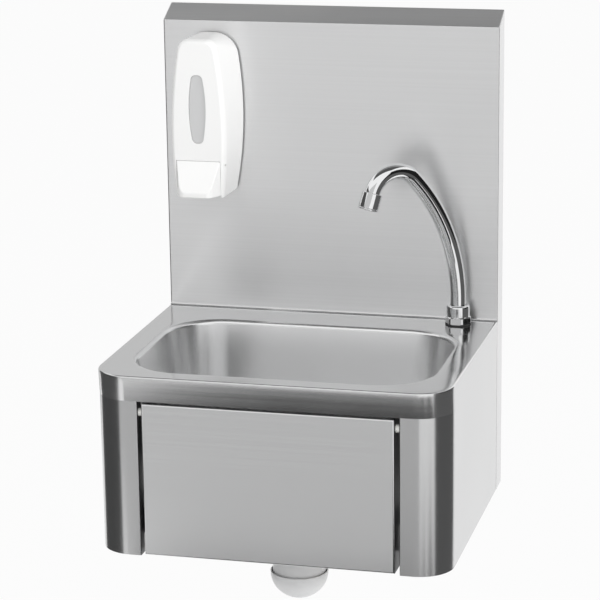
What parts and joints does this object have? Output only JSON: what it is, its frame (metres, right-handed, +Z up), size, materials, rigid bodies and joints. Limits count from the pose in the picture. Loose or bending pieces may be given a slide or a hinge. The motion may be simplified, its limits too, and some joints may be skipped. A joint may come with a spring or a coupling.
{
  "type": "knee-operated wall washbasin",
  "caption": "Wall-hung stainless-steel hand-wash basin with splashback, knee panel that works the valve, swivel swan-neck spout, bottle trap and wall soap dispenser.",
  "frame": {"origin": "middle of the four wall screws, on the wall plane", "axes": "+X to the user's right, +Y into the wall, +Z up"},
  "size_m": [0.4, 0.375, 0.661],
  "materials": {
    "stainless": "fine horizontal brushing",
    "chrome": "polished",
    "brass": "turned, bare",
    "white_gloss": "moulded, glossy",
    "trap_white": "moulded, satin",
    "nylon": "natural nylon",
    "black_rubber": "matt",
    "window_grey": "translucent grey",
    "natural_plastic": "translucent moulding",
    "spring_steel": "drawn wire"
  },
  "bodies": {
    "basin": {"basin_deck": "stainless", "basin_bowl": "stainless", "back_panel": "stainless", "left_side_panel": "stainless", "right_side_panel": "stainless", "cross_rail": "stainless", "shank_washer": "stainless", "drain_flange": "stainless", "drain_screw": "stainless", "dispenser_screws": "stainless", "delivery_pipe": "stainless", "spout_union_nut": "chrome", "valve_body": "brass", "valve_nose": "brass", "valve_locknut": "brass", "valve_bonnet": "brass", "hot_inlet_nipple": "brass", "cold_inlet_nipple": "brass", "valve_pipe_nut": "brass", "shank_pipe_nut": "brass", "spout_shank": "brass", "shank_backnut": "brass", "dispenser_back_plate": "white_gloss", "drain_tail": "trap_white", "trap_inlet_nut": "trap_white", "trap_dip_tube": "trap_white", "trap_neck_nut": "trap_white", "trap_body": "trap_white", "trap_cup": "trap_white", "trap_outlet_nut": "trap_white", "outlet_pipe": "trap_white", "wall_rosette": "trap_white", "panel_bushes": "nylon", "deck_gasket": "black_rubber", "drain_gasket": "black_rubber", "trap_inlet_washer": "black_rubber", "cup_seal": "black_rubber", "trap_outlet_washer": "black_rubber", "soap_tank": "natural_plastic", "pump_body": "natural_plastic", "plunger_spring": "spring_steel", "pump_spring": "spring_steel"},
    "knee_panel": {"knee_panel": "stainless", "panel_hinge_pins": "stainless", "panel_stop_pads": "black_rubber", "push_pad": "nylon"},
    "valve_plunger": {"valve_plunger": "stainless", "plunger_seal": "black_rubber"},
    "spout": {"spout_tube": "chrome", "spout_o_rings": "black_rubber", "aerator_housing": "chrome", "aerator_insert": "nylon"},
    "temperature_knob": {"mixing_spindle": "brass", "temperature_knob": "nylon"},
    "dispenser_cover": {"dispenser_cover": "white_gloss", "cover_hinge_pins": "stainless", "sight_window": "window_grey", "button_pin": "stainless"},
    "push_button": {"push_button": "white_gloss"},
    "pump_piston": {"pump_piston": "natural_plastic"}
  },
  "joints": [
    {"name": "knee_panel_hinge", "type": "hinge", "parent": "basin", "child": "knee_panel", "pos_m": [0, -0.3296, 0.077], "axis": [1, 0, 0], "range_deg": [0, 5], "stiffness_Nm_per_rad": 12, "springref_deg": -6.88},
    {"name": "plunger_slide", "type": "slide", "parent": "basin", "child": "valve_plunger", "axis": [0, 1, 0], "range_m": [0, 0.0116], "deforming": ["plunger_spring"]},
    {"name": "spout_swivel", "type": "hinge", "parent": "basin", "child": "spout", "pos_m": [0.157, -0.054, 0.12], "axis": [0, 0, 1], "range_deg": [-42, 142]},
    {"name": "temperature_turn", "type": "hinge", "parent": "basin", "child": "temperature_knob", "pos_m": [0.094, -0.2355, -0.072], "axis": [0, 0, 1], "range_deg": [-60, 60]},
    {"name": "cover_hinge", "type": "hinge", "parent": "basin", "child": "dispenser_cover", "pos_m": [-0.142, -0.045, 0.277], "axis": [1, 0, 0], "range_deg": [0, 65]},
    {"name": "button_tilt", "type": "hinge", "parent": "dispenser_cover", "child": "push_button", "pos_m": [-0.142, -0.092, 0.306], "axis": [1, 0, 0], "range_deg": [0, 10], "stiffness_Nm_per_rad": 0.6, "springref_deg": -5.73},
    {"name": "piston_slide", "type": "slide", "parent": "basin", "child": "pump_piston", "axis": [0, 1, 0], "range_m": [0, 0.004], "deforming": ["pump_spring"]}
  ],
  "couplings": [
    {"joint": "plunger_slide", "follows": "knee_panel_hinge", "m_per_rad": 0.1315},
    {"joint": "piston_slide", "follows": "button_tilt", "m_per_rad": 0.0225}
  ]
}
